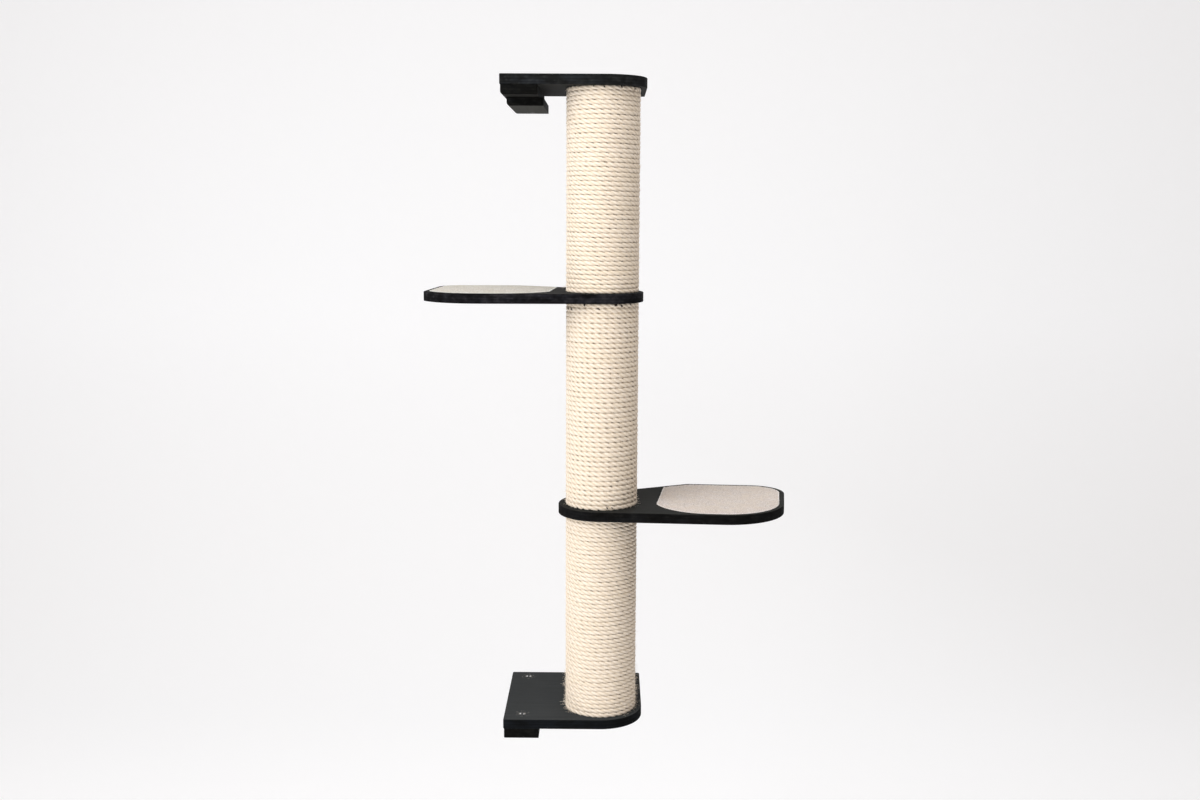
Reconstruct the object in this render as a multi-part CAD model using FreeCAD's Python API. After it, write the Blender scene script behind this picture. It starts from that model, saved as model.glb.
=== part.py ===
"""Wall mounted climbing post: three rope-wrapped posts, two shelves and two end plates.

Millimetres. The wall is the plane Y = 0 and the object stands out of it towards -Y, +Z up.
The origin is the mouth of the lower rod bore, in the wall face of the bottom rail block.
"""
import FreeCAD, Part
import math
import os

from FreeCAD import Vector

# Boards
plate_thickness = 18.0
shelf_thickness = 18.0
block_thickness = 18.0
arm_thickness = 15.0
edge_round = 1.5            # broken edges of every board
corner_round = 2.5          # sharp corners, seen from above

# Posts
post_from_wall = 174.0      # wall to the posts' axis
lower_post_length = 381.0
middle_post_length = 380.0
upper_post_length = 365.0
tube_outer_radius = 59.0
tube_wall = 8.0
plug_thickness = 18.0
plug_clearance = 0.2

# Rope
rope_diameter = 7.7
rope_clearance = 0.15       # rope to the tube, and end turns to the boards
rope_crossing = 45.0        # degrees each side of the wall side, in which a turn climbs to the next
lower_post_turns = 45
middle_post_turns = 42
upper_post_turns = 44

# End plates
plate_border = 12.0         # rope to the plates' round corner and front edge
plate_length = 260.5        # square end to round end
plate_overhang = 1.5        # the square end beyond the block

# Brackets under the square end of each plate
block_width = 65.0
top_arm_width = 66.0
bottom_arm_width = 52.0     # so that the block hides it from the front
arm_length = 198.0
arm_inset = 7.0             # outer side of the block to the outer side of the arm
top_outer_round = 6.0       # lower outer edges of the top block and arm
bottom_outer_round = 2.0
screws_to_rod = 10.5        # the plate screws' line to the rod's, seen from above
rod_bore_radius = 6.2       # for a 12 mm steel rod in the wall
rod_bore_depth = 120.0
lock_screw_from_wall = 20.0

# Shelves, seen from above
lower_shelf_border = 14.0   # rope to the shelf's round end
upper_shelf_border = 8.5
shelf_slant = 30.0          # degrees, back edge from the post to the wall
lower_shelf_flare = 3.5     # degrees, far end out of square with the front edge
upper_shelf_flare = -5.7
lower_shelf_cut = 0.0       # degrees, between the far end and the front round, where it cuts it off
upper_shelf_cut = 28.0
shelf_front_corner = 115.0
lower_back_corner = 64.0
upper_back_corner = 45.0
shelf_wall_corner = 25.0
shelf_wall_gap = 0.5
lower_shelf_reach = 342.5   # posts' axis to the far end
upper_shelf_reach = 327.7
lower_shelf_swing = 4.0     # degrees that the far end stands out from the wall
upper_shelf_swing = 2.0

# Mats
mat_thickness = 5.0
mat_recess = 3.0
mat_border = 9.5            # mat to the shelf's edge
lower_mat_start = 104.0     # posts' axis to the mat's near side
upper_mat_start = 97.0
mat_front_run = 26.0        # straight stretch of the mat's front edge, between its two rounds
mat_near_cut = 23.0         # degrees, between the near side and the front round that it cuts off
mat_slant_corner = 6.0
mat_edge_round = 1.5
mat_clearance = 0.3

# Fasteners
thread_radius = 4.0         # M8
thread_clearance = 0.3
bolt_length = 40.0
bolt_head_radius = 7.0
bolt_head_height = 4.4
bolt_socket_flats = 5.0
bolt_socket_depth = 2.8
washer_radius = 12.0
washer_thickness = 1.6
counterbore_radius = 13.0
counterbore_depth = 6.5
stud_length = 70.0
tee_flange_radius = 11.0
tee_flange_thickness = 1.5
tee_barrel_radius = 5.0
tee_barrel_length = 10.0
screw_radius = 2.2
screw_head_radius = 4.6
screw_head_height = 2.6
screw_length = 33.0
screw_clearance = 0.05
screw_slot_width = 1.1
screw_slot_length = 5.2
screw_slot_depth = 1.4
plate_screw_wall_inset = 25.0
plate_screw_front_inset = 30.0
arm_screw_length = 30.0
arm_screw_places = (140.0, 184.0)    # from the wall
lock_screw_radius = 2.4
lock_head_radius = 4.5
lock_head_height = 2.4
lock_tip_gap = 0.3

# Worked out from the sizes above
rope_centre_radius = tube_outer_radius + rope_clearance + rope_diameter / 2
rope_outer_radius = rope_centre_radius + rope_diameter / 2
plate_corner_radius = rope_outer_radius + plate_border
lower_shelf_end = rope_outer_radius + lower_shelf_border
upper_shelf_end = rope_outer_radius + upper_shelf_border
plate_depth = post_from_wall + plate_corner_radius
tube_inner_radius = tube_outer_radius - tube_wall
bolt_hole_radius = thread_radius + thread_clearance

rod_x = 0.0
block_centre = rod_x - screws_to_rod
block_left = block_centre - block_width / 2
arm_left = block_left + arm_inset
plate_left = block_left - plate_overhang
post_x = plate_left + plate_length - plate_corner_radius
post_y = -post_from_wall

bottom_plate_z = block_thickness / 2         # undersides of the boards, from the lower rod's axis
lower_post_z = bottom_plate_z + plate_thickness
lower_shelf_z = lower_post_z + lower_post_length
middle_post_z = lower_shelf_z + shelf_thickness
upper_shelf_z = middle_post_z + middle_post_length
upper_post_z = upper_shelf_z + shelf_thickness
top_plate_z = upper_post_z + upper_post_length

up = Vector(0, 0, 1)
down = Vector(0, 0, -1)
tolerance = 1e-4            # for finding edges and closing outlines


def save(name, *solids):
    shape = solids[0] if len(solids) == 1 else Part.makeCompound(list(solids))
    assert shape.isValid(), name
    shape.exportStep("parts/" + name + ".step")


def cylinder(radius, height, x, y, z, direction=up):
    return Part.makeCylinder(radius, height, Vector(x, y, z), direction)


def box(width, depth, height, x, y, z):
    """A box whose back is at y and which reaches towards -Y."""
    return Part.makeBox(width, depth, height, Vector(x, y - depth, z))


def rounded_face(corners):
    """A flat face through (x, y, radius) corners, each rounded by a tangent arc."""
    starts, middles, ends = [], [], []
    count = len(corners)
    for index in range(count):
        x, y, radius = corners[index]
        corner = Vector(x, y, 0)
        before = Vector(*corners[index - 1][:2], 0)
        after = Vector(*corners[(index + 1) % count][:2], 0)
        to_before = (before - corner).normalize()
        to_after = (after - corner).normalize()
        half_angle = to_before.getAngle(to_after) / 2
        tangent = radius / math.tan(half_angle)
        inward = (to_before + to_after).normalize()
        starts.append(corner + to_before * tangent)
        ends.append(corner + to_after * tangent)
        middles.append(corner + inward * (radius / math.sin(half_angle) - radius))
    edges = []
    for index in range(count):
        edges.append(Part.Arc(starts[index], middles[index], ends[index]).toShape())
        following = starts[(index + 1) % count]
        if (following - ends[index]).Length > tolerance:
            edges.append(Part.LineSegment(ends[index], following).toShape())
    return Part.Face(Part.Wire(edges))


def board(face, thickness, radius):
    """The face raised to a board, with its upper and lower edges rounded."""
    solid = face.extrude(up * thickness)
    level = [edge for edge in solid.Edges if edge.BoundBox.ZLength < tolerance]
    return solid.makeFillet(radius, level)


# Posts and rope

def post_tube(z, length):
    outside = cylinder(tube_outer_radius, length, post_x, post_y, z)
    return outside.cut(cylinder(tube_inner_radius, length, post_x, post_y, z))


def end_plug(board_face_z, into_tube):
    """A wooden disc in the end of a tube, drilled for its tee nut from the inner face."""
    centre = Vector(post_x, post_y, board_face_z)
    barrel_start = centre + into_tube * (plug_thickness - tee_barrel_length - screw_clearance)
    disc = Part.makeCylinder(tube_inner_radius - plug_clearance, plug_thickness, centre, into_tube)
    bolt_hole = Part.makeCylinder(bolt_hole_radius, plug_thickness, centre, into_tube)
    barrel_hole = Part.makeCylinder(tee_barrel_radius + screw_clearance, plug_thickness,
                                    barrel_start, into_tube)
    return disc.cut(bolt_hole.fuse(barrel_hole))


def tee_nut(board_face_z, into_tube):
    inner_face = Vector(post_x, post_y, board_face_z) + into_tube * plug_thickness
    flange = Part.makeCylinder(tee_flange_radius, tee_flange_thickness, inner_face, into_tube)
    barrel = Part.makeCylinder(tee_barrel_radius, tee_barrel_length, inner_face, into_tube * -1)
    thread_start = inner_face - into_tube * tee_barrel_length
    thread = Part.makeCylinder(thread_radius + screw_clearance,
                               tee_barrel_length + tee_flange_thickness, thread_start, into_tube)
    return flange.fuse(barrel).removeSplitter().cut(thread)


def rope_stop(angle, z):
    """The rope's centre where it has turned through the angle from the wall side, and its direction."""
    turned = math.pi / 2 + angle
    place = Vector(post_x + rope_centre_radius * math.cos(turned),
                   post_y + rope_centre_radius * math.sin(turned), z)
    return place, Vector(-math.sin(turned), math.cos(turned), 0)


def tangent_arc(start, corner, end):
    """The arc from start to end that is tangent to both legs of the corner."""
    chord_middle = (start + end) * 0.5
    weight = (end - start).Length / 2 / (corner - start).Length
    middle = (chord_middle + corner * weight) * (1 / (1 + weight))
    return Part.Arc(start, middle, end).toShape()


def biarc(start, start_along, end, end_along):
    """Two arcs that leave start and reach end along the given directions."""
    chord = end - start
    both = start_along + end_along
    spread = 2 * (1 - start_along.dot(end_along))
    reach = (-chord.dot(both) + math.sqrt(chord.dot(both) ** 2 + spread * chord.dot(chord))) / spread
    first_corner = start + start_along * reach
    last_corner = end - end_along * reach
    joint = (first_corner + last_corner) * 0.5
    return [tangent_arc(start, first_corner, joint), tangent_arc(joint, last_corner, end)]


def least_self_gap(edges, points_per_arc=13, arcs_per_turn=6):
    """Smallest distance between different turns of the winding, less the rope's thickness."""
    points = []
    for edge in edges:
        points.extend(edge.discretize(Number=points_per_arc)[:-1])
    apart = (points_per_arc - 1) * arcs_per_turn // 2
    nearest = min((points[late] - points[early]).Length
                  for early in range(len(points))
                  for late in range(early + apart, min(early + 4 * apart, len(points))))
    return nearest - rope_diameter


def winding(name, z, pitch, turns, first_angle, climbs_on):
    """One unbroken length of rope in level turns, each of which climbs to the next on the wall side."""
    crossing = math.radians(rope_crossing)
    stops = []
    for turn in range(turns):
        for angle in (crossing if turn else first_angle, math.pi, 2 * math.pi - crossing):
            stops.append(rope_stop(2 * math.pi * turn + angle, z + pitch * turn))
    if climbs_on:
        stops.append(rope_stop(2 * math.pi * turns + crossing, z + pitch * turns))
    edges = []
    for (start, start_along), (end, end_along) in zip(stops, stops[1:]):
        edges.extend(biarc(start, start_along, end, end_along))
    first, first_along = stops[0]
    last, last_along = stops[-1]
    tail = first - first_along * rope_diameter
    lead_in = Part.LineSegment(tail, first).toShape()
    lead_out = Part.LineSegment(last, last + last_along * rope_diameter).toShape()
    section = Part.Wire(Part.Circle(tail, first_along, rope_diameter / 2).toShape())
    print(name, "turns", turns, "pitch", round(pitch, 2),
          "least gap to itself", round(least_self_gap(edges), 2))
    path = Part.Wire([lead_in] + edges + [lead_out])
    return path.makePipeShell([section], True, False)


def post(name, z, length, turns):
    """A tube with its two plugs, its two tee nuts and its rope, wound in two lengths."""
    save(name + "_post_tube", post_tube(z, length))
    save(name + "_post_foot_plug", end_plug(z, up))
    save(name + "_post_head_plug", end_plug(z + length, down))
    first_z = z + rope_clearance + rope_diameter / 2
    climb = length - rope_diameter - 2 * rope_clearance
    pitch = climb / (turns - 1)
    lower_turns = (turns + 1) // 2
    upper_turns = turns - lower_turns
    crossing = math.radians(rope_crossing)
    joint = crossing + (2 * rope_diameter + rope_clearance) / rope_centre_radius
    save(name + "_post_rope_low", winding(name + " low", first_z, pitch, lower_turns, crossing, True))
    save(name + "_post_rope_high",
         winding(name + " high", first_z + pitch * lower_turns, pitch, upper_turns, joint, False))
    return [tee_nut(z, up), tee_nut(z + length, down)]


# Shelves and mats

def slant_offset(radius):
    """Where the line tangent to the round end crosses the line through the posts' axis."""
    return radius / math.cos(math.radians(shelf_slant))


def back_reach(end_radius, swing):
    """Posts' axis to the shelf's wall edge, so that its corner just clears the wall."""
    turn = math.radians(swing)
    tangent = math.tan(math.radians(shelf_slant))
    room = post_from_wall - shelf_wall_gap
    start = slant_offset(end_radius)
    return (room - start / tangent * math.sin(turn)) / (math.cos(turn) - math.sin(turn) / tangent)


def front_round(side_x, lean, front, radius, turn, outward):
    """The corner of a round between the front edge and a leaning side, and where it meets the side."""
    side_y = front + radius * (1 - math.cos(turn))
    side_x += lean * side_y
    corner_x = side_x - outward * radius * math.tan(turn / 2) * math.cos(turn)
    return (corner_x, front), (side_x, side_y)


def shelf_corners(end_radius, reach, back, flare, cut, back_corner, border):
    """The corners away from the post, drawn in from the shelf's edge by the border."""
    lean = math.tan(math.radians(flare))
    slant = math.tan(math.radians(shelf_slant))
    front = border - end_radius
    far = reach - border
    back -= border
    radius = shelf_front_corner - border
    corner, meeting = front_round(far, lean, front, radius, math.radians(90 - flare - cut), 1)
    front_corners = [(*corner, radius)]
    if cut:
        front_corners = [(*corner, radius - corner_round), (*meeting, corner_round)]
    return front_corners + [
        (far + lean * back, back, back_corner - border),
        ((back - slant_offset(end_radius - border)) / slant, back, shelf_wall_corner - border)]


def shelf_face(end_radius, *outline):
    start = slant_offset(end_radius) - end_radius * math.tan(math.radians(shelf_slant))
    return rounded_face([(-end_radius, -end_radius, end_radius)]
                        + shelf_corners(end_radius, *outline, 0)
                        + [(-end_radius, start, end_radius)])


def mat_face(near, grow, end_radius, reach, back, flare, cut, back_corner):
    """The shelf's outline drawn in by the border, cut off near the post parallel to the far end.

    The round at its near front takes what the straight run leaves of the front edge.
    """
    border = mat_border - grow
    corners = shelf_corners(end_radius, reach, back, flare, cut, back_corner, border)
    far_x, front = corners[0][:2]
    near -= grow
    lean = math.tan(math.radians(flare))
    slant = math.tan(math.radians(shelf_slant))
    far_leg = (shelf_front_corner - border) * math.tan(math.radians(90 - flare - cut) / 2)
    round_end = far_x - far_leg - mat_front_run
    turn = math.radians(90 + flare - mat_near_cut)
    radius = (round_end - near - lean * front) / (math.sin(turn) + lean * (1 - math.cos(turn)))
    corner, meeting = front_round(near, lean, front, radius, turn, -1)
    slant_y = (slant_offset(end_radius - border) + near * slant) / (1 - lean * slant)
    return rounded_face([(*corner, radius - corner_round)] + corners
                        + [(near + lean * slant_y, slant_y, mat_slant_corner + grow),
                           (*meeting, corner_round)])


def place_on_post(shape, swing, z, to_the_left):
    """Turn a shape drawn round the post about its axis, and set it on the post."""
    if to_the_left:
        shape = shape.mirror(Vector(0, 0, 0), Vector(1, 0, 0))
    shape.rotate(Vector(0, 0, 0), up, swing if to_the_left else -swing)
    shape.translate(Vector(post_x, post_y, z))
    return shape


def shelf(name, z, to_the_left, swing, mat_near, end_radius, reach, flare, cut, back_corner):
    """A shelf with its bolt hole and mat recess, and the mat that lies in it."""
    outline = (end_radius, reach, back_reach(end_radius, swing), flare, cut, back_corner)
    slab = board(shelf_face(*outline), shelf_thickness, edge_round)
    slab = slab.cut(Part.makeCylinder(bolt_hole_radius, shelf_thickness))
    recess = mat_face(mat_near, mat_clearance, *outline).extrude(up * mat_recess)
    recess.translate(up * (shelf_thickness - mat_recess))
    mat = board(mat_face(mat_near, 0, *outline), mat_thickness, mat_edge_round)
    mat.translate(up * (shelf_thickness - mat_recess))
    save(name, place_on_post(slab.cut(recess), swing, z, to_the_left))
    save(name + "_mat", place_on_post(mat, swing, z, to_the_left))


# Fasteners

def stud(z):
    """A threaded rod that reaches equally far into the posts below and above a shelf."""
    start = z + (shelf_thickness - stud_length) / 2
    rod = cylinder(thread_radius, stud_length, post_x, post_y, start)
    ends = [edge for edge in rod.Edges if edge.BoundBox.ZLength < tolerance]
    return rod.makeChamfer(thread_radius / 5, ends)


def hexagon(flats, height, centre, direction):
    corner = flats / math.sqrt(3)
    points = []
    for index in range(7):
        angle = math.radians(60 * index)
        points.append(centre + Vector(corner * math.cos(angle), corner * math.sin(angle), 0))
    return Part.Face(Part.makePolygon(points)).extrude(direction * height)


def plate_washer(seat, into_plate):
    """A washer on the floor of a counterbore; seat is the floor's centre."""
    ring = Part.makeCylinder(washer_radius, washer_thickness, seat, into_plate * -1)
    return ring.cut(Part.makeCylinder(bolt_hole_radius, washer_thickness, seat, into_plate * -1))


def plate_bolt(seat, into_plate):
    """A button-head bolt with a hexagon socket, its head on the washer."""
    under_head = seat - into_plate * washer_thickness
    shank = Part.makeCylinder(thread_radius, bolt_length, under_head, into_plate)
    head = Part.makeCylinder(bolt_head_radius, bolt_head_height, under_head, into_plate * -1)
    top = (under_head - into_plate * bolt_head_height).z
    rim = [edge for edge in head.Edges if abs(edge.BoundBox.ZMin - top) < tolerance
           and edge.BoundBox.ZLength < tolerance]
    head = head.makeFillet(bolt_head_height / 2, rim)
    socket_top = under_head - into_plate * bolt_head_height
    socket = hexagon(bolt_socket_flats, bolt_socket_depth, socket_top, into_plate)
    return shank.fuse(head).removeSplitter().cut(socket)


def sunk_screw(head_centre, direction, length):
    """A countersunk cross-head wood screw; head_centre is the middle of its flat top."""
    head = Part.makeCone(screw_head_radius, screw_radius, screw_head_height, head_centre, direction)
    tip_length = 2 * screw_radius
    shank = Part.makeCylinder(screw_radius, length - tip_length, head_centre, direction)
    tip = Part.makeCone(screw_radius, screw_radius / 4, tip_length,
                        head_centre + direction * (length - tip_length), direction)
    screw = head.fuse(shank).fuse(tip).removeSplitter()
    for width, depth in ((screw_slot_length, screw_slot_width), (screw_slot_width, screw_slot_length)):
        slot = Part.makeBox(width, depth, 2 * screw_slot_depth)
        slot.translate(head_centre - Vector(width / 2, depth / 2, screw_slot_depth))
        screw = screw.cut(slot)
    return screw


def screw_hole(head_centre, direction, length):
    """The space for a sunk screw: its countersink and its hole, with clearance."""
    cone = Part.makeCone(screw_head_radius + screw_clearance, screw_radius + screw_clearance,
                         screw_head_height, head_centre, direction)
    hole = Part.makeCylinder(screw_radius + screw_clearance, length + screw_clearance,
                             head_centre, direction)
    return cone.fuse(hole)


def lock_screw(arm_z):
    """A pan-head screw from below that grips the rod; its tip stops at the bore's wall."""
    place = Vector(rod_x, -lock_screw_from_wall, arm_z)
    reach = arm_thickness + block_thickness / 2 - rod_bore_radius - lock_tip_gap
    head = Part.makeCylinder(lock_head_radius, lock_head_height, place, up)
    shank = Part.makeCylinder(lock_screw_radius, reach, place, up)
    slot = Part.makeBox(screw_slot_length, screw_slot_width, screw_slot_depth)
    slot.translate(place - Vector(screw_slot_length / 2, screw_slot_width / 2, 0))
    return head.fuse(shank).removeSplitter().cut(slot)


# End plates with the brackets that carry them

def plate_screw_places():
    return (-plate_screw_wall_inset, -(plate_depth - plate_screw_front_inset))


def end_plate(z, bolt_from_above):
    right = post_x + plate_corner_radius
    face = rounded_face([
        (plate_left, 0, corner_round),
        (plate_left, -plate_depth, corner_round),
        (right, -plate_depth, plate_corner_radius),
        (right, 0, corner_round)])
    plate = board(face, plate_thickness, edge_round)
    plate.translate(up * z)
    bore_z = z + plate_thickness - counterbore_depth if bolt_from_above else z
    plate = plate.cut(cylinder(bolt_hole_radius, plate_thickness, post_x, post_y, z))
    plate = plate.cut(cylinder(counterbore_radius, counterbore_depth, post_x, post_y, bore_z))
    for y in plate_screw_places():
        plate = plate.cut(screw_hole(Vector(block_centre, y, z + plate_thickness), down, screw_length))
    return plate


def break_edges(solid, z, left, front, outer_round):
    """Round the lower outer edge, which runs to the wall, and then break the front face's edges."""
    outer = [edge for edge in solid.Edges
             if edge.BoundBox.ZMax < z + tolerance and edge.BoundBox.XMax < left + tolerance]
    solid = solid.makeFillet(outer_round, outer)
    around = [edge for edge in solid.Edges if edge.BoundBox.YMax < front + tolerance]
    return solid.makeFillet(edge_round, around)


def rail_block(plate_z, outer_round):
    """The block under the plate: it slides on the wall's rod, and the arm hangs below it."""
    z = plate_z - block_thickness
    block = box(block_width, plate_depth, block_thickness, block_left, 0, z)
    block = break_edges(block, z, block_left, -plate_depth, outer_round)
    rod_z = z + block_thickness / 2
    block = block.cut(Part.makeCylinder(rod_bore_radius, rod_bore_depth,
                                        Vector(rod_x, 0, rod_z), Vector(0, -1, 0)))
    for y in plate_screw_places():
        block = block.cut(screw_hole(Vector(block_centre, y, plate_z + plate_thickness),
                                     down, screw_length))
    for place in arm_screw_places:
        block = block.cut(screw_hole(Vector(rod_x, -place, plate_z), down, arm_screw_length))
    return block.cut(cylinder(lock_screw_radius + screw_clearance, block_thickness / 2,
                              rod_x, -lock_screw_from_wall, z))


def wall_arm(plate_z, width, outer_round):
    z = plate_z - block_thickness - arm_thickness
    arm = box(width, arm_length, arm_thickness, arm_left, 0, z)
    arm = break_edges(arm, z, arm_left, -arm_length, outer_round)
    for place in arm_screw_places:
        arm = arm.cut(screw_hole(Vector(rod_x, -place, plate_z), down, arm_screw_length))
    arm = arm.cut(cylinder(lock_screw_radius + screw_clearance, arm_thickness,
                           rod_x, -lock_screw_from_wall, z))
    return arm.cut(cylinder(lock_head_radius + screw_clearance, lock_head_height + screw_clearance,
                            rod_x, -lock_screw_from_wall, z))


def plate_end(name, z, arm_width, outer_round, bolt_from_above):
    """An end plate, its rail block and wall arm, and every fastener in them."""
    into_plate = down if bolt_from_above else up
    seat_z = z + plate_thickness - counterbore_depth if bolt_from_above else z + counterbore_depth
    seat = Vector(post_x, post_y, seat_z)
    save(name + "_plate", end_plate(z, bolt_from_above))
    save(name + "_rail_block", rail_block(z, outer_round))
    save(name + "_wall_arm", wall_arm(z, arm_width, outer_round))
    save(name + "_plate_washer", plate_washer(seat, into_plate))
    save(name + "_plate_bolt", plate_bolt(seat, into_plate))
    plate_top = z + plate_thickness
    save(name + "_plate_screws", *[sunk_screw(Vector(block_centre, y, plate_top), down, screw_length)
                                   for y in plate_screw_places()])
    save(name + "_arm_screws", *[sunk_screw(Vector(rod_x, -place, z), down, arm_screw_length)
                                 for place in arm_screw_places])
    save(name + "_lock_screw", lock_screw(z - block_thickness - arm_thickness))


os.makedirs("parts", exist_ok=True)
plate_end("bottom", bottom_plate_z, bottom_arm_width, bottom_outer_round, False)
plate_end("top", top_plate_z, top_arm_width, top_outer_round, True)
tee_nuts = post("lower", lower_post_z, lower_post_length, lower_post_turns)
tee_nuts += post("middle", middle_post_z, middle_post_length, middle_post_turns)
tee_nuts += post("upper", upper_post_z, upper_post_length, upper_post_turns)
save("tee_nuts", *tee_nuts)
shelf("lower_shelf", lower_shelf_z, False, lower_shelf_swing, lower_mat_start, lower_shelf_end,
      lower_shelf_reach, lower_shelf_flare, lower_shelf_cut, lower_back_corner)
shelf("upper_shelf", upper_shelf_z, True, upper_shelf_swing, upper_mat_start, upper_shelf_end,
      upper_shelf_reach, upper_shelf_flare, upper_shelf_cut, upper_back_corner)
save("lower_shelf_stud", stud(lower_shelf_z))
save("upper_shelf_stud", stud(upper_shelf_z))
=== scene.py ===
import math
import random

import bmesh
import bpy
from mathutils import Matrix, Vector, noise
from mathutils.bvhtree import BVHTree


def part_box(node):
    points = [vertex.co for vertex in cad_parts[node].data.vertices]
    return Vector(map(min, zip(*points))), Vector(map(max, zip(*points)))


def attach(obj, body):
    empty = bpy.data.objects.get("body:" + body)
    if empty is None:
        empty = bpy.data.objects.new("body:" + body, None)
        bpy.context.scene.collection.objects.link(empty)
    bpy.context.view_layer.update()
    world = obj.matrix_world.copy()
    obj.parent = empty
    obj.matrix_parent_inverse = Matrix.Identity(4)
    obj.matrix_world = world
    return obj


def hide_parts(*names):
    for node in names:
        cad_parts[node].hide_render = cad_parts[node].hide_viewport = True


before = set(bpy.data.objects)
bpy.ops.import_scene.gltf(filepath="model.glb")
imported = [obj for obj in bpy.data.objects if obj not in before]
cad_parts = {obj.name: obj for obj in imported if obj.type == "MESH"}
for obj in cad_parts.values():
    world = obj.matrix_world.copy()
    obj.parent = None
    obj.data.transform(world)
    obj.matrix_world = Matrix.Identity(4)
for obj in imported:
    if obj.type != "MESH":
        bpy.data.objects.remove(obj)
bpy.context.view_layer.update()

scene = bpy.context.scene
scene.view_settings.view_transform = "Standard"
posts = ("lower", "middle", "upper")
print("frame loaded:", len(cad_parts), "nodes")


# viewpoint, floor and light

viewpoint = {
    "lens": 38.6,                           # mm, on a sensor 36 mm wide
    "place": (0.1493, -2.5475, 0.9750),
    "left": 0.380, "down": 8.464, "roll": 0.295,        # degrees
}

studio = {
    "floorHeight": -1.2, "backdropFrom": 4.4, "bend": 1.6, "bendSteps": 24, "halfWidth": 9.0, "top": 6.0,
    "surface": (0.780, 0.790, 0.805), "glow": 0.30,
    "sky": (0.985, 0.905, 0.850), "skyStrength": 0.465,
}

lamps = {
    "windowLeft": {"place": (-2.2, -2.8, 2.0), "aim": (0.15, -0.2, 0.7), "width": 3.2, "height": 3.2,
                   "power": 154, "colour": (0.990, 0.995, 1.0)},
    "ceiling": {"place": (0.4, -0.9, 3.4), "aim": (0.2, -0.15, 0.6), "width": 2.6, "height": 2.0,
                "power": 46, "colour": (1.0, 0.99, 0.97)},
    "backFill": {"place": (1.4, 3.2, 1.8), "aim": (0.15, -0.1, 0.6), "width": 2.6, "height": 2.0,
                 "power": 16, "colour": (0.97, 0.98, 1.0)},
}


def linkObject(name, data):
    made = bpy.data.objects.new(name, data)
    scene.collection.objects.link(made)
    return made


def addCamera():
    data = bpy.data.cameras.new("viewpoint")
    data.sensor_width = 36
    data.lens = viewpoint["lens"]
    data.clip_end = 40
    camera = linkObject("viewpoint", data)
    camera.matrix_world = (Matrix.Translation(viewpoint["place"])
                           @ Matrix.Rotation(math.radians(viewpoint["left"]), 4, "Z")
                           @ Matrix.Rotation(math.radians(90 - viewpoint["down"]), 4, "X")
                           @ Matrix.Rotation(math.radians(viewpoint["roll"]), 4, "Z"))
    scene.camera = camera


def addLamp(name, lamp):
    data = bpy.data.lights.new(name, "AREA")
    data.shape = "RECTANGLE"
    data.size = lamp["width"]
    data.size_y = lamp["height"]
    data.energy = lamp["power"]
    data.color = lamp["colour"]
    place = Vector(lamp["place"])
    aim = (Vector(lamp["aim"]) - place).to_track_quat("-Z", "Y")
    linkObject(name, data).matrix_world = Matrix.Translation(place) @ aim.to_matrix().to_4x4()


def finishMesh(name, mesh, material, smooth=True):
    for face in mesh.faces:
        face.smooth = smooth
    data = bpy.data.meshes.new(name)
    mesh.to_mesh(data)
    mesh.free()
    data.materials.append(material)
    return linkObject(name, data)


def addNode(tree, kind, inputs, **settings):
    made = tree.nodes.new("ShaderNode" + kind)
    for name, value in settings.items():
        setattr(made, name, value)
    for name, value in inputs.items():
        if isinstance(value, bpy.types.NodeSocket):
            tree.links.new(value, made.inputs[name])
        else:
            made.inputs[name].default_value = value
    return made


def startMaterial(name, values):
    material = bpy.data.materials.new(name)
    material.use_nodes = True
    tree = material.node_tree
    shader = tree.nodes["Principled BSDF"]
    for socket, value in values.items():
        shader.inputs[socket].default_value = value
    return material, tree, shader


def addRamp(tree, factor, *stops):
    ramp = addNode(tree, "ValToRGB", {"Fac": factor})
    elements = ramp.color_ramp.elements
    while len(elements) < len(stops):
        elements.new(0.5)
    for element, (position, shade) in zip(elements, stops):
        element.position = position
        element.color = (*shade, 1) if hasattr(shade, "__len__") else (shade, shade, shade, 1)
    return ramp.outputs["Color"]


def mixColours(tree, factor, first, second, blend="MIX"):
    made = addNode(tree, "Mix", {}, data_type="RGBA", blend_type=blend)
    for place, value in ((0, factor), (6, first), (7, second)):
        if isinstance(value, bpy.types.NodeSocket):
            tree.links.new(value, made.inputs[place])
        else:
            made.inputs[place].default_value = value if place == 0 else (*value, 1)
    return made.outputs[2]


def addMath(tree, operation, first, second=0.0, clamp=False):
    made = addNode(tree, "Math", {}, operation=operation, use_clamp=clamp)
    for place, value in enumerate((first, second)):
        if isinstance(value, bpy.types.NodeSocket):
            tree.links.new(value, made.inputs[place])
        else:
            made.inputs[place].default_value = value
    return made.outputs["Value"]


def addNoise(tree, vector, scale, detail=3.0, rough=0.5):
    return addNode(tree, "TexNoise", {"Vector": vector, "Scale": scale, "Detail": detail,
                                      "Roughness": rough}).outputs["Fac"]


def stretched(tree, vector, scale):
    return addNode(tree, "Mapping", {"Vector": vector, "Scale": scale}).outputs["Vector"]


def shaded(tone, share):
    return [part * share for part in tone]


def objectPlace(tree):
    return addNode(tree, "TexCoord", {}).outputs["Object"]


def partOf(tree, vector, axis):
    return addNode(tree, "SeparateXYZ", {"Vector": vector}).outputs[axis]


def readAttribute(tree, name, output="Fac"):
    return addNode(tree, "Attribute", {}, attribute_name=name).outputs[output]


def addBump(tree, height, distance, strength=1.0):
    return addNode(tree, "Bump", {"Height": height, "Distance": distance,
                                  "Strength": strength}).outputs["Normal"]


def connect(tree, shader, sockets):
    for name, socket in sockets.items():
        tree.links.new(socket, shader.inputs[name])


def paperWhite():
    white = (*studio["surface"], 1)
    return startMaterial("studioPaper", {
        "Base Color": white, "Roughness": 0.9, "Specular IOR Level": 0.2,
        "Emission Color": white, "Emission Strength": studio["glow"]})[0]


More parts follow.
